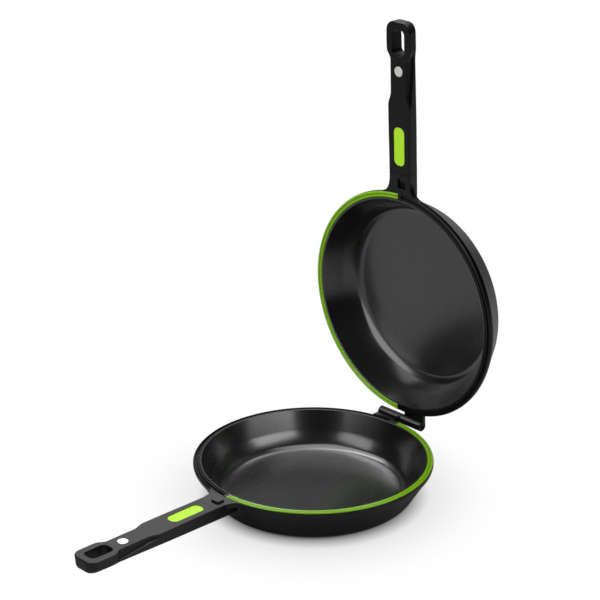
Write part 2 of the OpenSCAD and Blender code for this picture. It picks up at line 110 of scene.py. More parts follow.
# %% [markdown]
# ## Helpers for working as by hand
# Operators act on whatever is selected, so each step starts from nothing selected. Then
# `pick` selects vertices, edges or faces in edit mode by a test on their place, just as
# a modeller would pick them on the screen, and says how many it found.


# %% Selecting and editing
def only(piece):
    """Selects one object and makes it the active one."""
    bpy.ops.object.select_all(action="DESELECT")
    piece.select_set(True)
    bpy.context.view_layer.objects.active = piece


def start_edit(piece):
    only(piece)
    bpy.ops.object.mode_set(mode="EDIT")
    bpy.ops.mesh.select_mode(type="VERT")
    bpy.ops.mesh.select_all(action="SELECT")


def end_edit():
    bpy.ops.object.mode_set(mode="OBJECT")


def pick(kind, test):
    """In edit mode, selects the vertices, edges or faces for which the test holds."""
    bpy.ops.mesh.select_mode(type=kind)
    bpy.ops.mesh.select_all(action="DESELECT")
    mesh = bmesh.from_edit_mesh(bpy.context.object.data)
    found = {"VERT": mesh.verts, "EDGE": mesh.edges, "FACE": mesh.faces}[kind]
    chosen = [item for item in found if test(item)]
    for item in chosen:
        item.select_set(True)
    mesh.select_flush_mode()
    bmesh.update_edit_mesh(bpy.context.object.data)
    return len(chosen)


def mm(vector):
    """A point of a lower piece in millimetres in the half's own frame."""
    return vector / MM - Vector((0, 0, PAN_H))


def edge_mid(edge):
    return mm((edge.verts[0].co + edge.verts[1].co) / 2)


# %% Adding primitives at their size and place
def name_it(name):
    piece = bpy.context.object
    piece.name = name
    piece.data.name = name
    return piece


def apply_place(piece):
    """Puts the object's place into its mesh, so the object sits at the origin."""
    only(piece)
    bpy.ops.object.transform_apply(location=True, rotation=True, scale=True)


def box(name, low, high):
    """A block between two corners, in the half's frame."""
    low, high = Vector(low), Vector(high)
    bpy.ops.object.select_all(action="DESELECT")
    bpy.ops.mesh.primitive_cube_add(size=1, location=place(*((low + high) / 2)),
                                    scale=(high - low) * MM)
    piece = name_it(name)
    apply_place(piece)
    return piece


def rod(name, radius, start, end, sides=96):
    """A cylinder from one point to another, in the half's frame."""
    a, b = place(*start), place(*end)
    turn = (b - a).to_track_quat("Z", "Y").to_euler()
    bpy.ops.object.select_all(action="DESELECT")
    bpy.ops.mesh.primitive_cylinder_add(vertices=sides, radius=radius * MM,
                                        depth=(b - a).length, location=(a + b) / 2,
                                        rotation=turn)
    piece = name_it(name)
    apply_place(piece)
    return piece


def rounded_slab(name, centre, length, width, corner, z_low, z_high):
    """A plate with round corners: a plane, its corners bevelled, then extruded up."""
    bpy.ops.object.select_all(action="DESELECT")
    bpy.ops.mesh.primitive_plane_add(size=1, location=place(centre, 0, z_low))
    piece = name_it(name)
    piece.scale = Vector((length, width, 1)) * MM
    apply_place(piece)
    start_edit(piece)
    bpy.ops.mesh.bevel(offset=corner * MM, segments=8, affect="VERTICES")
    bpy.ops.mesh.select_all(action="SELECT")
    bpy.ops.mesh.extrude_region_move(
        TRANSFORM_OT_translate={"value": (0, 0, (z_high - z_low) * MM)})
    bpy.ops.mesh.select_all(action="SELECT")
    bpy.ops.mesh.normals_make_consistent(inside=False)
    end_edit()
    return piece


# %% Modifiers that are applied at once
def cut_away(piece, tool):
    """Takes the tool's shape out of the piece, then deletes the tool."""
    only(piece)
    cut = piece.modifiers.new("cut", "BOOLEAN")
    cut.operation = "DIFFERENCE"
    cut.solver = "EXACT"
    cut.object = tool
    bpy.ops.object.modifier_apply(modifier="cut")
    bpy.data.objects.remove(tool)


def bevel_edges(width, segments, test, clamp=True):
    """In edit mode, rounds the edges for which the test holds."""
    found = pick("EDGE", test)
    bpy.ops.mesh.bevel(offset=width * MM, segments=segments, affect="EDGES",
                       clamp_overlap=clamp)
    return found


def smooth(piece, degrees=35):
    """Smooth shading with crisp edges where faces turn by more than the angle."""
    only(piece)
    bpy.ops.object.shade_smooth_by_angle(angle=math.radians(degrees))
    piece.modifiers.new("flat_faces_stay_flat", "WEIGHTED_NORMAL").keep_sharp = True
    bpy.ops.object.modifier_apply(modifier="flat_faces_stay_flat")


# %% [markdown]
# ## Turned parts
# The pan, its rim and the seal are all one profile carried round an axis. A lathe does
# the same to metal. The profile is drawn as a chain of points, each corner is rounded
# with a vertex bevel, and `spin` carries it round. A radius says how round a corner is:
# the bevel's offset along both sides follows from it and from the angle of the corner.


# %% Draw a profile, round its corners, spin it
def draw_chain(name, corners, closed):
    """A chain of edges in the XZ plane from (radius, height, corner radius) rows."""
    points = [place(r, 0, z) for r, z, _ in corners]
    bpy.ops.object.select_all(action="DESELECT")
    bpy.ops.mesh.primitive_plane_add(size=MM)
    piece = name_it(name)
    start_edit(piece)
    bpy.ops.mesh.merge(type="CENTER")
    bpy.ops.transform.translate(value=points[0])
    for a, b in zip(points, points[1:]):
        bpy.ops.mesh.extrude_region_move(TRANSFORM_OT_translate={"value": b - a})
    if closed:
        pick("VERT", lambda v: min((v.co - points[0]).length,
                                   (v.co - points[-1]).length) < 1e-7)
        bpy.ops.mesh.edge_face_add()
    return piece


def round_corners(corners, closed):
    """Bevels each corner that has a radius, by the offset that this radius needs."""
    count = len(corners)
    done = 0
    for i, (r, z, radius) in enumerate(corners):
        if radius == 0 or (not closed and i in (0, count - 1)):
            continue
        here = Vector((r, z))
        into = (here - Vector(corners[i - 1][:2])).normalized()
        out = (Vector(corners[(i + 1) % count][:2]) - here).normalized()
        turn = into.angle(out)
        target = place(r, 0, z)
        pick("VERT", lambda v: (v.co - target).length < 1e-6)
        bpy.ops.mesh.bevel(offset=radius * math.tan(turn / 2) * MM, affect="VERTICES",
                           segments=12 if radius > 3 else 3)
        done += 1
    return done


def spin_profile(name, corners, from_deg=0.0, to_deg=360.0, steps=240, closed=False):
    """A turned solid between two angles. Part turns get flat ends."""
    piece = draw_chain(name, corners, closed)
    rounded = round_corners(corners, closed)
    full = abs(to_deg - from_deg) > 359.9
    bpy.ops.mesh.select_all(action="SELECT")
    if not full:
        bpy.ops.mesh.edge_face_add()
        end_edit()
        piece.matrix_world = Matrix.Rotation(math.radians(from_deg), 4, "Z")
        apply_place(piece)
        start_edit(piece)
    bpy.ops.mesh.spin(steps=steps, angle=-math.radians(to_deg - from_deg),
                      center=(0, 0, 0), axis=(0, 0, 1))
    bpy.ops.mesh.select_all(action="SELECT")
    bpy.ops.mesh.remove_doubles(threshold=2e-6)
    if not full:
        first = Matrix.Rotation(math.radians(from_deg), 3, "Z") @ Vector((0, 1, 0))
        if pick("FACE", lambda f: len(f.verts) > 4
                and all(abs(v.co.dot(first)) < 1e-7 for v in f.verts)) == 0:
            pick("EDGE", lambda e: e.is_boundary
                 and all(abs(v.co.dot(first)) < 1e-7 for v in e.verts))
            bpy.ops.mesh.edge_face_add()
    bpy.ops.mesh.select_all(action="SELECT")
    bpy.ops.mesh.normals_make_consistent(inside=False)
    end_edit()
    mesh = bmesh.new()
    mesh.from_mesh(piece.data)
    open_edges = sum(1 for e in mesh.edges if not e.is_manifold)
    mesh.free()
    print(name, "-", rounded, "corners rounded,", len(piece.data.polygons), "faces,",
          open_edges, "open edges")
    return piece


# %% [markdown]
# ## The cast pan
# A die-cast aluminium pan: a thick floor, a cove up to the wall, a wall that bows a
# little and then leans out straight, and a flat rim. Below the rim a rolled band
# overhangs the outer wall.
# In the rim's top a seat and a groove hold the seal, with a narrow lip round the mouth.
# It could be a cylinder with insets and scaled rings, but one profile in a single spin
# gives every edge its true radius and an even mesh.

# %% Spin the pan
RIM_R = 128.0
MOUTH_R = 119.2
SEAT_IN_R = 121.1
GROOVE_IN_R, GROOVE_OUT_R = 123.4, 126.0
PLATE_SEAT = (88.1, -42.0)
FACE_Z = -0.15
SEAT_Z = -0.9
GROOVE_Z = -2.9
SKIRT_LEAN = math.tan(math.radians(31.5))
CREASE = (125.0, -8.9)
UNDER_Z = -42.8
FLOOR_Z = -38.2
BOW = (106.88, -27.19, 62.8)
COVE = (98.03, FLOOR_Z, 12.9)
SKIRT_FOOT = CREASE[0] - (CREASE[1] - UNDER_Z) * SKIRT_LEAN

pan_profile = [
    (0, PLATE_SEAT[1], 0), (*PLATE_SEAT, 0), (PLATE_SEAT[0], UNDER_Z, 0.2),
    (SKIRT_FOOT, UNDER_Z, 15), (*CREASE, 0), (RIM_R, -7.17, 5.98),
    (RIM_R, -1.9, 0.35), (RIM_R - 1, SEAT_Z, 0.35),
    (GROOVE_OUT_R, SEAT_Z, 0.15), (GROOVE_OUT_R, GROOVE_Z, 0.3),
    (GROOVE_IN_R, GROOVE_Z, 0.3), (GROOVE_IN_R, SEAT_Z, 0.15),
    (SEAT_IN_R, SEAT_Z, 0.12), (SEAT_IN_R, FACE_Z, 0.3),
    (MOUTH_R, FACE_Z, 0.45), BOW, COVE, (0, FLOOR_Z, 0),
]
lower_pan = spin_profile("lower_pan_casting", pan_profile)

# %% [markdown]
# ## The bridges of the rim
# Seat and groove stop on both sides of the hinge and of the handle. What is left
# standing there is a short piece of rim as high as the lip. Each is a small block of the
# rim's own section, spun over only a few degrees.

# %% Two bridges
bridge_profile = [
    (120.9, FACE_Z, 0.3), (RIM_R - 1, FACE_Z, 0.3), (RIM_R - 0.02, FACE_Z - 1, 0.3),
    (RIM_R - 0.02, -3.6, 0), (120.9, -3.6, 0),
]
HINGE_BRIDGE = 6.0
HANDLE_BRIDGE = 2.0
hinge_side = math.degrees(math.asin(HINGE_BRIDGE / RIM_R))
handle_side = math.degrees(math.asin(HANDLE_BRIDGE / RIM_R))
bridges = [
    spin_profile("lower_rim_bridge_hinge", bridge_profile, -hinge_side, hinge_side,
                 10, True),
    spin_profile("lower_rim_bridge_handle", bridge_profile, 180 - handle_side,
                 180 + handle_side, 4, True),
]

# %% [markdown]
# ## The cast lug
# A lug grows out of the rim and carries the handle. It has the handle's section, so the
# two run on from each other with a fine joint between them, and a fillet spreads it
# into the rim on both sides. Block and fillet plate are cut from boxes: two upright
# cylinders take out the hollow corners, as a mould maker would mill them.

# %% Model the lug
SEAM_X = -151.0
HANDLE_D = 18.4
DRAFT = math.tan(math.radians(12))


def lean_sides(half_width, depth):
    """In edit mode, narrows the bottom of a block by the draft of its sides."""
    pick("VERT", lambda v: mm(v.co).z < -depth + 0.01)
    bpy.ops.transform.resize(value=(1, 1 - (depth + FACE_Z) * DRAFT / half_width, 1),
                             center_override=place(0, 0, -depth))


LUG_W = 15.0
LUG_END = -114.6
BACK_R = 4.9
TOP_R = 1.6
JOINT_R = 0.5
lug = box("lower_lug", (SEAM_X, -LUG_W, -HANDLE_D), (LUG_END, LUG_W, FACE_Z))
start_edit(lug)
lean_sides(LUG_W, HANDLE_D)
pick("VERT", lambda v: abs(mm(v.co).x - LUG_END) < 0.01 and mm(v.co).z > -1)
bpy.ops.transform.translate(value=((-SEAT_IN_R - LUG_END) * MM, 0, 0))
bevel_edges(BACK_R, 8, lambda e: abs(edge_mid(e).z + HANDLE_D) < 0.01
            and abs(e.verts[0].co.x - e.verts[1].co.x) > 0.02)
bevel_edges(TOP_R, 4, lambda e: abs(edge_mid(e).z - FACE_Z) < 0.01
            and abs(e.verts[0].co.x - e.verts[1].co.x) > 0.02)
bevel_edges(JOINT_R, 2, lambda e: all(abs(mm(v.co).x - SEAM_X) < 0.01 for v in e.verts)
            and any(abs(f.normal.x) < 0.5 for f in e.link_faces))
end_edit()

FILLET_R = 16.0
fillet_y = LUG_W + FILLET_R
fillet_x = -math.sqrt((RIM_R + FILLET_R) ** 2 - fillet_y ** 2)
FILLET_W = 27.5
FILLET_TOP = FACE_Z - 0.02
fillet = box("lower_lug_fillet", (fillet_x, -FILLET_W, FACE_Z - 5.5),
             (-118.5, FILLET_W, FILLET_TOP))
for side in (-1, 1):
    cut_away(fillet, rod("cutter", FILLET_R, (fillet_x, side * fillet_y, -12),
                         (fillet_x, side * fillet_y, 3), 160))
start_edit(fillet)
bevel_edges(0.7, 3, lambda e: abs(edge_mid(e).z - FILLET_TOP) < 0.01 and e.is_manifold
            and any(abs(f.normal.z) < 0.3 for f in e.link_faces)
            and not all(abs(abs(mm(v.co).y) - FILLET_W) < 0.01 for v in e.verts))
end_edit()

# %% [markdown]
# ## Key and recess
# A low key on the lower lug drops into a recess in the upper one, so the shut halves
# can't slide. The rim's outer edge runs past the lug in a small notch. The upper half
# is a copy, so the lug is copied before the key is added, and the copy gets the recess.

# %% Cut the rim's notch, then add the key to one half and the recess to the other
for part in (lug, fillet):
    cut_away(part, rod("cutter", RIM_R + 0.3, (0, 0, -2.2), (0, 0, 4), 240))


def upper_copy(piece):
    """A copy with its own mesh, turned over and swung open to the upper half."""
    only(piece)
    bpy.ops.object.duplicate()
    twin = name_it(piece.name.replace("lower", "upper"))
    twin.matrix_world = TO_UPPER
    apply_place(twin)
    return twin


KEY_X = -139.65
KEY_HALF = 4.5
KEY_Y = (-8.0, 2.0)
KEY_TOP = 1.85
ROOM = 0.4
recess_y = (-KEY_Y[1] - ROOM, -KEY_Y[0] + ROOM)
upper_only = []
for part in (lug, fillet):
    only(part)
    bpy.ops.object.duplicate()
    twin = name_it(part.name.replace("lower", "upper"))
    recess = box("cutter", (KEY_X - KEY_HALF - ROOM, recess_y[0], -KEY_TOP - ROOM),
                 (KEY_X + KEY_HALF + ROOM, recess_y[1], 3))
    cut_away(twin, recess)
    start_edit(twin)
    bevel_edges(0.25, 2, lambda e: abs(edge_mid(e).z - FACE_Z) < 0.01
                and abs(edge_mid(e).x - KEY_X) < KEY_HALF + ROOM + 0.05
                and recess_y[0] - 0.05 < edge_mid(e).y < recess_y[1] + 0.05
                and any(abs(f.normal.z) < 0.3 for f in e.link_faces))
    end_edit()
    upper_only.append(twin)

key = box("lower_key", (KEY_X - KEY_HALF, KEY_Y[0], -1.5),
          (KEY_X + KEY_HALF, KEY_Y[1], KEY_TOP))
start_edit(key)
bevel_edges(0.5, 3, lambda e: edge_mid(e).z > -1.4)
end_edit()

# %% [markdown]
# ## The hinge
# Each half carries one knuckle on a web, on opposite sides of the middle, with a steel
# pin through both. A stop tooth on the knuckle's inner end meets the other half's tooth
# when the pan is open. The tooth is a slice of a cylinder between two planes, which
# `bisect` cuts.

# %% Model the knuckle, its web and its stop tooth
BARREL_R = 5.4
BARREL_L = 31.5
END_Y = 1.65
PIN_BORE_R = 2.52
TOOTH_L = 3.0
knuckle = rod("lower_knuckle", BARREL_R, (HINGE_X, END_Y, 0), (HINGE_X, BARREL_L, 0))
cut_away(knuckle, rod("cutter", PIN_BORE_R, (HINGE_X, 0, 0), (HINGE_X, 40, 0), 48))
start_edit(knuckle)
bevel_edges(1.0, 4, lambda e: abs(edge_mid(e).y - BARREL_L) < 0.01
            and Vector((edge_mid(e).x - HINGE_X, edge_mid(e).z)).length > 4)
bevel_edges(0.3, 2, lambda e: abs(edge_mid(e).y - END_Y) < 0.01
            and Vector((edge_mid(e).x - HINGE_X, edge_mid(e).z)).length > 4)
end_edit()

web = box("lower_hinge_web", (120.2, 4, -5.15), (HINGE_X, BARREL_L, FACE_Z))
start_edit(web)
bevel_edges(0.8, 3, lambda e: abs(e.verts[0].co.x - e.verts[1].co.x) > 0.01)
end_edit()
cut_away(web, rod("cutter", RIM_R - 0.3, (0, 0, -6), (0, 0, 4), 240))

tooth = rod("lower_stop_tooth", BARREL_R - 0.02, (HINGE_X, END_Y - TOOTH_L, 0),
            (HINGE_X, END_Y + 0.4, 0))
SECTOR = math.pi - OPEN / 2
start_edit(tooth)
bpy.ops.mesh.bisect(plane_co=place(HINGE_X, 0, 0.15), plane_no=(0, 0, 1),
                    clear_inner=True, use_fill=True)
bpy.ops.mesh.select_all(action="SELECT")
slant = Vector((-math.sin(SECTOR), 0, math.cos(SECTOR)))
bpy.ops.mesh.bisect(plane_co=place(HINGE_X, 0, 0) - slant * 0.15 * MM, plane_no=slant,
                    clear_outer=True, use_fill=True)
bevel_edges(0.25, 2, lambda e: abs(edge_mid(e).y - (END_Y - TOOTH_L)) < 0.01)
end_edit()
print("knuckle", len(knuckle.data.polygons), "faces, tooth", len(tooth.data.polygons))

# %% [markdown]
# ## The seal
# One silicone strip lies in the seat round half of each rim. Its root fills the groove
# and it shows two soft ridges with a narrow valley between them. It is spun like the
# pan, over a little less than half a turn, and its cut ends are square.

# %% Spin the seal
seal_profile = [
    (123.45, GROOVE_Z, 0.3), (125.95, GROOVE_Z, 0.3), (125.95, SEAT_Z + 0.02, 0),
    (127.6, SEAT_Z + 0.02, 0), (127.6, -0.5, 0.5), (126.9, 0.4, 0.8), (126.2, 0.6, 0.7),
    (125.1, 0.1, 0.6), (124.42, -1.4, 0.3), (123.8, 0.1, 0.6),
    (122.6, 0.6, 0.7), (121.9, 0.4, 0.8), (121.25, -0.5, 0.5),
    (121.25, SEAT_Z + 0.02, 0), (123.45, SEAT_Z + 0.02, 0),
]
SEAL_GAP = 0.3
seal_from = -180 + math.degrees(math.asin((HANDLE_BRIDGE + SEAL_GAP) / RIM_R))
seal_to = -math.degrees(math.asin((HINGE_BRIDGE + SEAL_GAP) / RIM_R))
seal = spin_profile("lower_seal_strip", seal_profile, seal_from, seal_to, 150, True)

# %% [markdown]
# ## The handle
# A compression moulded phenolic handle: flat where the halves meet, leaning sides, a
# rounded back, a round hang end with a slot, and a finger scoop on each side that
# narrows its face and leaves a sloping shelf. It could be one subdivided block, but its
# edges are crisp. So a block is bisected into stations along its length and levels down
# its sides, and each station's loops are resized and moved to the width and height that
# the real section has there. The edges are rounded afterwards.

# %% The handle's sizes along its length
TIP_X = SEAM_X - 164.3
GRIP_X = SEAM_X - 65.5
SCOOP = (SEAM_X - 73, SEAM_X - 88, SEAM_X - 123, SEAM_X - 133)
FLARE_X = SCOOP[3] - 5
SCOOP_DEPTH = 4.0


def ramp(x, a, b):
    """Goes smoothly from 0 at a to 1 at b."""
    t = min(1.0, max(0.0, (x - a) / (b - a)))
    return t * t * (3 - 2 * t)


def half_width(x):
    return LUG_W + 0.8 * ramp(x, SEAM_X, GRIP_X) + 1.4 * ramp(x, SCOOP[2], FLARE_X)


def opened(x):
    """How far the finger scoop has opened, from 0 to 1."""
    return ramp(x, SCOOP[0], SCOOP[1]) * (1 - ramp(x, SCOOP[2], SCOOP[3]))


def shelf(x):
    return FACE_Z - 4 - 5 * ramp(x, SCOOP[0], SCOOP[2])


def depth(x):
    return HANDLE_D - 4.2 * (SEAM_X - x) / 164.5


def steps(a, b, count):
    return [a + (b - a) * i / count for i in range(1, count + 1)]


stations = (steps(SEAM_X, SCOOP[0], 5)[:-1] + [SCOOP[0]] + steps(SCOOP[0], SCOOP[1], 8)
            + steps(SCOOP[1], SCOOP[2], 6) + steps(SCOOP[2], SCOOP[3], 8)
            + steps(SCOOP[3], FLARE_X, 2))
print(len(stations), "stations between the seam and the hang end")

# %% Block out the handle and cut it into stations and levels
END_W = 17.2
END_CORNER = 11.0
handle = box("lower_handle_grip", (TIP_X, -END_W, -HANDLE_D), (SEAM_X, END_W, FACE_Z))
start_edit(handle)
bevel_edges(END_CORNER, 12, lambda e: abs(edge_mid(e).x - TIP_X) < 0.01
            and abs(e.verts[0].co.z - e.verts[1].co.z) > 0.01)
for x in stations:
    bpy.ops.mesh.select_all(action="SELECT")
    bpy.ops.mesh.bisect(plane_co=place(x, 0, 0), plane_no=(1, 0, 0))
LEVELS = (-5.0, -5.4, -6.0, -6.5)
for z in LEVELS:
    bpy.ops.mesh.select_all(action="SELECT")
    bpy.ops.mesh.bisect(plane_co=place(0, 0, z), plane_no=(0, 0, 1))


# %% Bring every station's loops to their width and height
def move_loop(x, z, new_z, new_half):
    """Moves the loop at a station and level to a new height and half width."""
    if pick("VERT", lambda v: abs(mm(v.co).x - x) < 0.01 and abs(mm(v.co).z - z) < 0.01):
        middle = place(x, 0, z)
        bpy.ops.transform.resize(value=(1, new_half / END_W, 1), center_override=middle)
        bpy.ops.transform.translate(value=(0, 0, (new_z - z) * MM))


end_xs = sorted({round(mm(v.co).x, 3) for v in bmesh.from_edit_mesh(handle.data).verts
                 if mm(v.co).x < FLARE_X - 0.01})
for x in [SEAM_X] + stations + end_xs:
    w, s, low = half_width(x), opened(x), shelf(x)
    fillet_h = 0.2 + 0.4 * s
    lip_h = 0.2 + 0.3 * s
    foot = w - SCOOP_DEPTH * s - (FACE_Z - low) * DRAFT * (1 - s)
    outer = w - (FACE_Z - low) * DRAFT
    ledge = foot + (outer - foot) * fillet_h / (fillet_h + lip_h)
    move_loop(x, -HANDLE_D, -depth(x), w - (depth(x) + FACE_Z) * DRAFT)
    move_loop(x, LEVELS[3], low - lip_h, outer)
    move_loop(x, LEVELS[2], low, ledge)
    move_loop(x, LEVELS[1], low + 0.3 * fillet_h, foot + 0.3 * fillet_h * s)
    move_loop(x, LEVELS[0], low + fillet_h, foot)
    move_loop(x, FACE_Z, FACE_Z, w - SCOOP_DEPTH * s)


# %% Round the long edges
def between(edge, face_test_a, face_test_b):
    a, b = (edge.link_faces[0], edge.link_faces[-1])
    return (face_test_a(a) and face_test_b(b)) or (face_test_a(b) and face_test_b(a))


rounded_back = bevel_edges(BACK_R, 8, lambda e: len(e.link_faces) == 2 and between(
    e, lambda f: f.normal.z < -0.9, lambda f: abs(f.normal.z) < 0.5 and f.normal.x < 0.9),
    clamp=False)
rounded_top = bevel_edges(TOP_R, 4, lambda e: len(e.link_faces) == 2 and between(
    e, lambda f: f.normal.z > 0.99, lambda f: abs(f.normal.z) < 0.4 and f.normal.x < 0.9)
    and edge_mid(e).z > -0.2, clamp=False)
bevel_edges(JOINT_R, 2, lambda e: all(abs(mm(v.co).x - SEAM_X) < 0.01 for v in e.verts)
            and any(abs(f.normal.x) < 0.5 for f in e.link_faces))
bpy.ops.mesh.select_all(action="SELECT")
bpy.ops.mesh.normals_make_consistent(inside=False)
end_edit()
print("handle:", rounded_back, "edges of the back and", rounded_top,
      "of the face rounded")

# %% Cut the hang slot, the pockets and the screw's counterbore
SLOT_X = TIP_X + 22.0
SLOT = (28.0, 17.0, 5.5)
INLAY_X = SEAM_X - 29.6
INLAY = (42.4, 15.0, 6.2)
INLAY_Z, INLAY_TOP = -2.05, -0.45
MAGNET_X = SEAM_X - 111.5
MAGNET_R = 5.7
MAGNET_Z, MAGNET_TOP = -4.25, -0.25
SCREW_X = SEAM_X - 21
SCREW_BORE_R = 4.85
FIT = 0.1
cut_away(handle, rounded_slab("cutter", SLOT_X, *SLOT, -25, 5))
cut_away(handle, rounded_slab("cutter", INLAY_X, INLAY[0] + 2 * FIT, INLAY[1] + 2 * FIT,
                              INLAY[2] + FIT, INLAY_Z, 3))
cut_away(handle, rod("cutter", MAGNET_R + FIT, (MAGNET_X, 0, MAGNET_Z),
                     (MAGNET_X, 0, 3), 64))
cut_away(handle, rod("cutter", SCREW_BORE_R, (SCREW_X, 0, -30),
                     (SCREW_X, 0, -14.45), 64))


def on_face_near(edge, x, length, width):
    """True for an edge of an opening of this size in the handle's face."""
    m = edge_mid(edge)
    return (abs(m.z - FACE_Z) < 0.01 and abs(m.x - x) < length / 2 + 0.1
            and abs(m.y) < width / 2 + 0.1
            and any(abs(f.normal.z) < 0.3 for f in edge.link_faces))


start_edit(handle)
slot_edges = bevel_edges(1.0, 3, lambda e: on_face_near(e, SLOT_X, SLOT[0], SLOT[1]))
pocket_edges = bevel_edges(
    0.3, 2, lambda e: on_face_near(e, INLAY_X, INLAY[0] + 2 * FIT, INLAY[1] + 2 * FIT)
    or on_face_near(e, MAGNET_X, 2 * (MAGNET_R + FIT), 2 * (MAGNET_R + FIT)))
end_edit()
print("slot edges", slot_edges, "- pocket edges", pocket_edges)

# %% [markdown]
# ## Inlay and magnet
# A silicone inlay marks each handle, and a magnet set into each face keeps the handles
# together when the pan is shut. Both sit in their pockets with a fine dark gap round
# them. The inlay's face carries a shallow moulded border and is otherwise left bare.

# %% Model the inlay and the magnet
inlay = rounded_slab("lower_inlay_pad", INLAY_X, *INLAY, INLAY_Z, INLAY_TOP)
start_edit(inlay)
bevel_edges(0.6, 4, lambda e: abs(edge_mid(e).z - INLAY_TOP) < 0.01)
pick("FACE", lambda f: f.normal.z > 0.99)
bpy.ops.mesh.inset(thickness=0.7 * MM)
bpy.ops.mesh.inset(thickness=0.25 * MM, depth=-0.18 * MM)
end_edit()

magnet = rod("lower_magnet_disc", MAGNET_R, (MAGNET_X, 0, MAGNET_Z),
             (MAGNET_X, 0, MAGNET_TOP))
start_edit(magnet)
bevel_edges(0.5, 3, lambda e: abs(edge_mid(e).z - MAGNET_TOP) < 0.01)
pick("FACE", lambda f: f.normal.z > 0.99)
bpy.ops.mesh.inset(thickness=0.9 * MM)
bpy.ops.mesh.inset(thickness=0.2 * MM, depth=-0.08 * MM)
end_edit()

# %% [markdown]
# ## The upper half
# Every finished piece of the lower half is smoothed and then copied to the upper half.
# Each copy has its own mesh, because its place is in the mesh.

# %% Smooth all pieces and copy them up
lower_pieces = [lower_pan, *bridges, lug, fillet, knuckle, web, tooth, seal, handle,
                inlay, magnet, key]
for piece in lower_pieces + upper_only:
    smooth(piece)
shared = [p for p in lower_pieces if p not in (lug, fillet, key)]
upper_pieces = [upper_copy(p) for p in shared]
for part in upper_only:
    part.matrix_world = TO_UPPER
    apply_place(part)
    upper_pieces.append(part)
print(len(lower_pieces), "pieces below,", len(upper_pieces), "above")

# %% [markdown]
# ## Colours and nodes
# Colours are written as sRGB hex, as a paint chart gives them, and one function turns
# them to the linear values that shaders use. One more function adds a node, with its
# settings and its links, so a material reads as a list of what it is made of.


# %% Colour and node helpers
def srgb(code):
    """Linear colour from a hex sRGB code."""
    parts = [int(code[i:i + 2], 16) / 255 for i in (1, 3, 5)]
    return (*[c / 12.92 if c <= 0.04045 else ((c + 0.055) / 1.055) ** 2.4
              for c in parts], 1.0)


def new_material(name):
    material = bpy.data.materials.new(name)
    material.use_nodes = True
    material.node_tree.nodes.clear()
    return material


def add(material, kind, inputs=None, **settings):
    """Adds a node; inputs maps a socket to a value or to another node's output."""
    node = material.node_tree.nodes.new(kind)
    for name, value in settings.items():
        setattr(node, name, value)
    for socket, value in (inputs or {}).items():
        if isinstance(value, bpy.types.NodeSocket):
            material.node_tree.links.new(value, node.inputs[socket])
        else:
            node.inputs[socket].default_value = value
    return node


def finish_surface(material, **sockets):
    """Ends a material with the shader and the output."""
    names = {name.replace("_", " "): value for name, value in sockets.items()}
    shader = add(material, "ShaderNodeBsdfPrincipled", names)
    add(material, "ShaderNodeOutputMaterial", {"Surface": shader.outputs["BSDF"]})
    return material


def per_mm(size):
    """Texture scale at which a pattern's cell is that many millimetres."""
    return 1 / (size * MM)


# %% [markdown]
# ## Non-stick coating
# The inside is sprayed with PTFE in layers and baked: a charcoal layer that holds small
# mineral flakes, and a clear top coat. The fine pebble of the droplets gives the lower
# layer a satin sheen, and the clear coat adds a tighter one, so that the light bands in
# the cove have a bright core and a soft edge. The flakes are really about 0.1 mm; here
# they are 0.7 mm, as coarse as they need to be to show at this size.


# %% Sprayed non-stick coating
def make_nonstick():
    m = new_material("ptfe_coating_sprayed")
    where = add(m, "ShaderNodeTexCoord").outputs["Object"]
    flakes = add(m, "ShaderNodeTexNoise", {"Vector": where, "Scale": per_mm(0.7),
                                           "Detail": 2.0, "Roughness": 0.6})
    tint = add(m, "ShaderNodeMix", {"Factor": flakes.outputs["Fac"],
                                    "A": srgb("#0e0e0f"), "B": srgb("#171718")},
               data_type="RGBA")
    wide = add(m, "ShaderNodeTexNoise", {"Vector": where, "Scale": per_mm(45),
                                         "Detail": 1.0})
    gloss = add(m, "ShaderNodeMapRange", {"Value": wide.outputs["Fac"], "To Min": 0.24,
                                          "To Max": 0.30})
    pebble = add(m, "ShaderNodeTexNoise", {"Vector": where, "Scale": per_mm(0.5),
                                           "Detail": 1.0})
    bump = add(m, "ShaderNodeBump", {"Height": pebble.outputs["Fac"], "Strength": 0.25,
                                     "Distance": 0.02 * MM})
    return finish_surface(m, Base_Color=tint.outputs["Result"], IOR=1.55,
                          Roughness=gloss.outputs["Result"], Coat_Weight=1.0,
                          Coat_IOR=1.55, Coat_Roughness=0.18,
                          Normal=bump.outputs["Normal"])


# %% [markdown]
# ## Outside lacquer
# The outside of the casting has a heat-proof silicone-polyester lacquer: nearly black,
# glossy, with the long soft waves of a sprayed film, called orange peel, about 3 mm
# from crest to crest.


# %% Sprayed gloss lacquer
def make_lacquer():
    m = new_material("heatproof_lacquer_sprayed")
    where = add(m, "ShaderNodeTexCoord").outputs["Object"]
    peel = add(m, "ShaderNodeTexNoise", {"Vector": where, "Scale": per_mm(3),
                                         "Detail": 1.0})
    bump = add(m, "ShaderNodeBump", {"Height": peel.outputs["Fac"], "Strength": 0.3,
                                     "Distance": 0.03 * MM})
    haze = add(m, "ShaderNodeTexNoise", {"Vector": where, "Scale": per_mm(30),
                                         "Detail": 2.0})
    gloss = add(m, "ShaderNodeMapRange", {"Value": haze.outputs["Fac"], "To Min": 0.26,
                                          "To Max": 0.32})
    tint = add(m, "ShaderNodeMix", {"Factor": haze.outputs["Fac"],
                                    "A": srgb("#0a0a0b"), "B": srgb("#0e0e0f")},
               data_type="RGBA")
    return finish_surface(m, Base_Color=tint.outputs["Result"], IOR=1.4,
                          Roughness=gloss.outputs["Result"],
                          Normal=bump.outputs["Normal"])


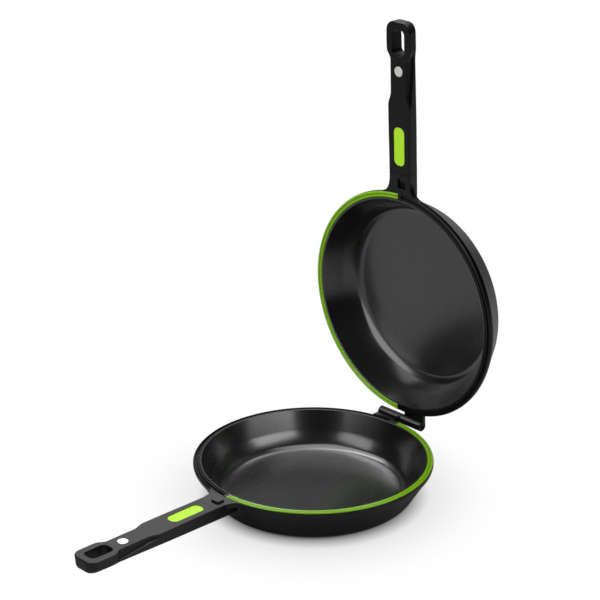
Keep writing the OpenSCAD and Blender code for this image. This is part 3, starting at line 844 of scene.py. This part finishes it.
# %% [markdown]
# ## Phenolic
# Phenolic resin is pressed in a hot steel mould with a lightly sparked surface. It is
# black with a satin sheen and a fine grain of about 0.4 mm, and the wood flour in it
# shifts its tone slightly from place to place.


# %% Moulded phenolic
def make_phenolic():
    m = new_material("phenolic_compression_moulded")
    where = add(m, "ShaderNodeTexCoord").outputs["Object"]
    grain = add(m, "ShaderNodeTexNoise", {"Vector": where, "Scale": per_mm(0.6),
                                          "Detail": 2.0, "Roughness": 0.6})
    bump = add(m, "ShaderNodeBump", {"Height": grain.outputs["Fac"], "Strength": 0.35,
                                     "Distance": 0.03 * MM})
    flour = add(m, "ShaderNodeTexNoise", {"Vector": where, "Scale": per_mm(12),
                                          "Detail": 3.0})
    tint = add(m, "ShaderNodeMix", {"Factor": flour.outputs["Fac"],
                                    "A": srgb("#0d0d0e"), "B": srgb("#131314")},
               data_type="RGBA")
    gloss = add(m, "ShaderNodeMapRange", {"Value": flour.outputs["Fac"], "To Min": 0.40,
                                          "To Max": 0.46})
    return finish_surface(m, Base_Color=tint.outputs["Result"], IOR=1.42,
                          Roughness=gloss.outputs["Result"],
                          Normal=bump.outputs["Normal"])


# %% [markdown]
# ## Silicone
# The seal and the inlays are lime green silicone rubber. Light enters it a little way
# and comes back softened, so it gets a small subsurface share. A moulded face is matt
# and faintly uneven, with dust-fine speckle in its pigment.


# %% Moulded silicone
def make_silicone(name, deep, light, matt):
    m = new_material(name)
    where = add(m, "ShaderNodeTexCoord").outputs["Object"]
    pigment = add(m, "ShaderNodeTexNoise", {"Vector": where, "Scale": per_mm(4),
                                            "Detail": 3.0})
    tint = add(m, "ShaderNodeMix", {"Factor": pigment.outputs["Fac"],
                                    "A": srgb(deep), "B": srgb(light)},
               data_type="RGBA")
    skin = add(m, "ShaderNodeTexNoise", {"Vector": where, "Scale": per_mm(0.5),
                                         "Detail": 1.0})
    bump = add(m, "ShaderNodeBump", {"Height": skin.outputs["Fac"], "Strength": 0.25,
                                     "Distance": 0.02 * MM})
    return finish_surface(m, Base_Color=tint.outputs["Result"], IOR=1.41,
                          Roughness=matt, Subsurface_Weight=0.12,
                          Subsurface_Scale=0.5 * MM,
                          Normal=bump.outputs["Normal"])


# %% [markdown]
# ## Metals
# The base plate is ferritic stainless steel, brushed in circles; the magnet is nickel
# plated and polished; screw, washer and insert are zinc plated steel; the pin is ground
# steel and the bush is sintered bronze. A metal keeps the default IOR: its colour says
# how it reflects.


# %% Metals
def make_metal(name, colour, rough, grit):
    m = new_material(name)
    where = add(m, "ShaderNodeTexCoord").outputs["Object"]
    marks = add(m, "ShaderNodeTexNoise", {"Vector": where, "Scale": per_mm(grit),
                                          "Detail": 3.0})
    gloss = add(m, "ShaderNodeMapRange", {"Value": marks.outputs["Fac"],
                                          "To Min": rough - 0.05, "To Max": rough + 0.05})
    bump = add(m, "ShaderNodeBump", {"Height": marks.outputs["Fac"], "Strength": 0.15,
                                     "Distance": 0.01 * MM})
    return finish_surface(m, Base_Color=srgb(colour), Metallic=1.0,
                          Roughness=gloss.outputs["Result"],
                          Normal=bump.outputs["Normal"])


def make_brushed(name, turn):
    """Steel brushed in circles; turn carries the row frame to the plate's own frame."""
    m = new_material(name)
    where = add(m, "ShaderNodeTexCoord").outputs["Object"]
    own = add(m, "ShaderNodeMapping", {"Vector": where, "Location": turn.translation,
                                       "Rotation": turn.to_euler()})
    split = add(m, "ShaderNodeSeparateXYZ", {"Vector": own.outputs["Vector"]})
    flat = add(m, "ShaderNodeCombineXYZ", {"X": split.outputs["X"],
                                           "Y": split.outputs["Y"]})
    radius = add(m, "ShaderNodeVectorMath", {0: flat.outputs["Vector"]},
                 operation="LENGTH")
    rings = add(m, "ShaderNodeTexNoise", {"W": radius.outputs["Value"],
                                          "Scale": per_mm(0.6), "Detail": 2.0},
                noise_dimensions="1D")
    gloss = add(m, "ShaderNodeMapRange", {"Value": rings.outputs["Fac"], "To Min": 0.36,
                                          "To Max": 0.50})
    bump = add(m, "ShaderNodeBump", {"Height": rings.outputs["Fac"], "Strength": 0.3,
                                     "Distance": 0.02 * MM})
    return finish_surface(m, Base_Color=srgb("#c3c4c6"), Metallic=1.0,
                          Roughness=gloss.outputs["Result"],
                          Normal=bump.outputs["Normal"])


# %% Make the materials
nonstick = make_nonstick()
lacquer = make_lacquer()
phenolic = make_phenolic()
seal_silicone = make_silicone("silicone_lime_moulded", "#74a512", "#7fb31a", 0.2)
inlay_silicone = make_silicone("silicone_inlay_moulded", "#aae120", "#b2e82a", 0.5)
nickel = make_metal("nickel_plate_polished", "#f0eee8", 0.5, 1.5)
zinc = make_metal("zinc_plated_steel", "#b9bcc0", 0.32, 0.8)
ground = make_metal("ground_steel", "#c6c7c9", 0.2, 0.5)
bronze = make_metal("sintered_bronze", "#b98b52", 0.45, 0.4)
brushed = {"lower": make_brushed("stainless_brushed_lower", Matrix.Identity(4)),
           "upper": make_brushed("stainless_brushed_upper", TO_UPPER.inverted())}

# %% [markdown]
# ## Putting the finishes on
# The pan takes two: coating inside and lacquer outside. Its faces are told apart by
# their normal, because the coated ones look up or towards the axis. All other new
# pieces take one. The CAD nodes that stay only get a better material in their slots.


# %% Dress the pieces
def dress(piece, *materials):
    piece.data.materials.clear()
    for material in materials:
        piece.data.materials.append(material)


def coat_inside(piece, to_half):
    """Gives the coated faces the second material."""
    count = 0
    turn = to_half.to_3x3()
    for face in piece.data.polygons:
        centre = mm(to_half @ face.center)
        normal = turn @ face.normal
        out = Vector((centre.x, centre.y)).normalized()
        inward = normal.x * out.x + normal.y * out.y
        radius = Vector((centre.x, centre.y)).length
        if centre.z > FLOOR_Z - 0.1 and radius < SEAT_IN_R + 0.05 and inward < 0.2:
            face.material_index = 1
            count += 1
    return count


by_word = {"seal": seal_silicone, "handle_grip": phenolic, "inlay": inlay_silicone,
           "magnet": nickel}
for piece in lower_pieces + upper_pieces:
    word = next((w for w in by_word if w in piece.name), None)
    if "pan_casting" in piece.name:
        dress(piece, lacquer, nonstick)
        to_half = TO_UPPER.inverted() if "upper" in piece.name else Matrix.Identity(4)
        print(piece.name, coat_inside(piece, to_half), "faces coated")
    else:
        dress(piece, by_word[word] if word else lacquer)

for name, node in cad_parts.items():
    if "base_plate" in name:
        dressing = brushed[name.split("_")[0]]
    elif "pin" in name:
        dressing = ground
    elif "bush" in name:
        dressing = bronze
    else:
        dressing = zinc
    for slot in node.material_slots:
        slot.material = dressing

# %% [markdown]
# ## Riding on the bodies
# Each piece moves with the CAD body it belongs to, and the piece that stands for a CAD
# node hides that node. Collision still uses the CAD shape.

# %% Ride and replace
for piece in lower_pieces:
    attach(piece, "lower_half")
for piece in upper_pieces:
    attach(piece, "upper_half")
for half in ("lower", "upper"):
    for piece, node in (("pan_casting", "pan"), ("seal_strip", "seal"),
                        ("handle_grip", "handle"), ("inlay_pad", "inlay"),
                        ("magnet_disc", "magnet")):
        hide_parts(f"{half}_{node}")

# %% [markdown]
# ## Floor, world and lamps
# The pan is shot on a white table, in a room that is dark behind the camera and bright
# behind the pan. The camera sees the table and the backdrop white, except in a ring round
# the foot. There less of the white is mixed in by distance from the middle, so the grey
# table there is painted shade on top of the pan's real shadow. Mirror rays see the same
# table much weaker, and the room as dark as it is away from the backdrop, because a
# gloss black pan shows its surroundings.

# %% Floor
bpy.ops.object.select_all(action="DESELECT")
bpy.ops.mesh.primitive_plane_add(size=12, location=(0, 0, -0.00005))
floor = name_it("studio_floor")
apply_place(floor)
paper = new_material("backdrop_paper_matt")
where = add(paper, "ShaderNodeTexCoord").outputs["Object"]
reach = add(paper, "ShaderNodeVectorMath", {0: where}, operation="LENGTH")
eye = add(paper, "ShaderNodeLightPath")
mirrored = add(paper, "ShaderNodeMath", {0: eye.outputs["Is Glossy Ray"],
                                         1: eye.outputs["Is Transmission Ray"]},
               operation="MAXIMUM")
bright = add(paper, "ShaderNodeMath", {0: mirrored.outputs["Value"], 1: 0.15,
                                       2: eye.outputs["Is Camera Ray"]},
             operation="MULTIPLY_ADD")
# Painted shade round the foot: inside the first radius the camera sees only the grey
# table, with its real shadow, and past the second it sees mostly the white. This darkens
# the ring round the foot by distance alone.
PAINTED_SHADE_FULL_R = 98 * MM  # the table shows past the pan's foot from here on
PAINTED_SHADE_FADE_R = 124 * MM  # the darkest of the shadow ends here
painted_foot_shade = add(paper, "ShaderNodeMapRange", {"Value": reach.outputs["Value"],
                                            "From Min": PAINTED_SHADE_FULL_R, "From Max": PAINTED_SHADE_FADE_R,
                                            "To Min": 0.0, "To Max": 0.72})
camera_white_past_painted_shade = add(paper, "ShaderNodeMath", {0: eye.outputs["Is Camera Ray"],
                                     1: painted_foot_shade.outputs["Result"]},
           operation="MULTIPLY")
shown = add(paper, "ShaderNodeMapRange", {"Value": reach.outputs["Value"],
                                          "From Min": 0.085, "From Max": 0.21,
                                          "To Min": camera_white_past_painted_shade.outputs["Value"],
                                          "To Max": bright.outputs["Value"]},
            interpolation_type="SMOOTHSTEP")
matt = add(paper, "ShaderNodeBsdfDiffuse", {"Color": srgb("#949494")})
white = add(paper, "ShaderNodeEmission", {"Color": (1, 1, 1, 1)})
blend = add(paper, "ShaderNodeMixShader", {0: shown.outputs["Result"], 1: matt.outputs[0],
                                           2: white.outputs[0]})
add(paper, "ShaderNodeOutputMaterial", {"Surface": blend.outputs[0]})
dress(floor, paper)
floor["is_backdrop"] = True

# %% World
world = bpy.data.worlds.new("studio")
bpy.context.scene.world = world
world.use_nodes = True
world.node_tree.nodes.clear()
sight = add(world, "ShaderNodeTexCoord").outputs["Generated"]
away = add(world, "ShaderNodeVectorMath", {0: sight, 1: (0.7, 0.7, 0)},
           operation="DOT_PRODUCT")
behind = add(world, "ShaderNodeMapRange", {"Value": away.outputs["Value"],
                                           "From Min": 0.78, "From Max": 0.97})
height = add(world, "ShaderNodeSeparateXYZ", {"Vector": sight})
room = add(world, "ShaderNodeMapRange", {"Value": height.outputs["Z"],
                                         "From Min": 0.55, "From Max": 0.12,
                                         "To Min": 0.04,
                                         "To Max": behind.outputs["Result"]})
path = add(world, "ShaderNodeLightPath")
lit = add(world, "ShaderNodeMix", {"Factor": path.outputs["Is Glossy Ray"], "A": 0.1,
                                   "B": room.outputs["Result"]})
seen = add(world, "ShaderNodeMath", {0: path.outputs["Is Camera Ray"],
                                     1: path.outputs["Is Transmission Ray"]},
           operation="MAXIMUM")
power = add(world, "ShaderNodeMix", {"Factor": seen.outputs["Value"],
                                     "A": lit.outputs["Result"], "B": 1.0})
sky = add(world, "ShaderNodeBackground", {"Color": (1, 1, 1, 1),
                                          "Strength": power.outputs["Result"]})
add(world, "ShaderNodeOutputWorld", {"Surface": sky.outputs["Background"]})


# %% [markdown]
# ## Soft boxes and flags
# A big soft box overhead gives the light pan floor and the bands in the coves, and a
# smaller, stronger one beside it gives the core of each band. Side boxes give the two
# spots on the lower pan's far wall, and a tall one on the left fills the open upper
# pan. Two thin strips draw the light lines along the hinge barrel. A photographer keeps
# lamps off the other half with black flags; here a flag is a list of the pieces that a
# lamp reaches.


# %% Lamps
def soft_box(name, azimuth, height, distance, width, tall, radiance, lit=(), roll=0):
    """A soft box at an azimuth and elevation in degrees, aimed at the pans."""
    data = bpy.data.lights.new(name, "AREA")
    data.shape = "RECTANGLE"
    data.size, data.size_y = width, tall
    data.energy = radiance * math.pi * width * tall
    lamp = bpy.data.objects.new(name, data)
    bpy.context.scene.collection.objects.link(lamp)
    a, e = math.radians(azimuth), math.radians(height)
    offset = Vector((math.cos(e) * math.cos(a), math.cos(e) * math.sin(a), math.sin(e)))
    middle = Vector((0.03, 0, 0.1))
    aim = (-offset).to_track_quat("-Z", "Y").to_matrix().to_4x4()
    lamp.matrix_world = (Matrix.Translation(middle + offset * distance) @ aim
                         @ Matrix.Rotation(math.radians(roll), 4, "Z"))
    if lit:
        flagged = bpy.data.collections.new("lit_by_" + name)
        for piece in lit:
            flagged.objects.link(piece)
        lamp.light_linking.receiver_collection = flagged


def named(pieces, *words):
    """The pieces whose name holds one of the words."""
    return [p for p in pieces if any(w in p.name for w in words)]


below = lower_pieces + [floor]
upper_pan = named(upper_pieces, "pan_casting")
upper_front = named(upper_pieces, "pan_casting", "seal", "magnet", "inlay")
but_upper_pan = (below + [p for p in upper_pieces if p not in upper_pan]
                 + list(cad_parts.values()))
lower_fittings = [p for p in lower_pieces if p is not lower_pan]
knuckles = named(lower_pieces + upper_pieces, "knuckle")
soft_box("overhead", 70, 77, 1.5, 1.85, 1.85, 2.5, but_upper_pan)
soft_box("overhead_core", 72, 56, 1.7, 0.72, 0.72, 3.5)
soft_box("back", 48, 28, 1.7, 1.2, 0.6, 1.2, lower_fittings)
soft_box("hinge_back", 59, 40, 1.3, 0.8, 0.14, 15, knuckles)
soft_box("hinge_front", 127, 34, 1.3, 0.8, 0.14, 15, knuckles)
soft_box("side_right", -84, 28, 1.6, 1.6, 0.42, 4.2, below, -8)
soft_box("side_left", 170, 31, 1.4, 0.95, 0.4, 2.8, below)
soft_box("tall_left", 180, 26, 1.5, 1.7, 1.5, 2.4, upper_front)
soft_box("top_left", 135, 60, 1.5, 0.9, 0.6, 1.2, upper_pan)

# %% Measure and finish
low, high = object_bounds()
print("visual box, metres:", [round(v, 4) for v in (*low, *high)])
